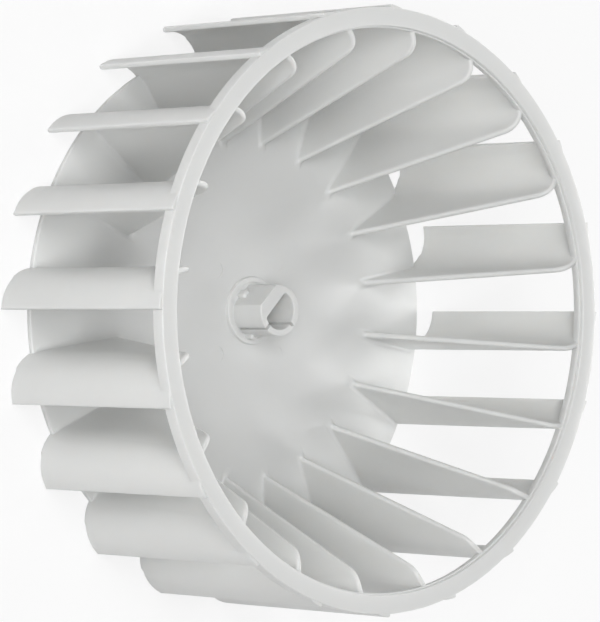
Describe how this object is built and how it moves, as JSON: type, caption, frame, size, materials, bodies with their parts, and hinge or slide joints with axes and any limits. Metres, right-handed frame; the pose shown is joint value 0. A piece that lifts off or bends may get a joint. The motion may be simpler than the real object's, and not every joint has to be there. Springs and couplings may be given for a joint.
{
  "type": "blower wheel",
  "caption": "Moulded blower wheel: a shallow domed back disc with a split D-bore hub, forward-curved blades round its edge and a front ring round the air inlet.",
  "frame": {"origin": "on the wheel's axis, in the plane of the blades' back ends, where the wheel stands", "axes": "+Z along the axis towards the air inlet, +X through the tip of one blade"},
  "size_m": [0.1968, 0.1968, 0.0773],
  "materials": {
    "moulding": "satin natural white polypropylene"
  },
  "bodies": {
    "root": {"blower_wheel": "moulding"}
  },
  "joints": []
}
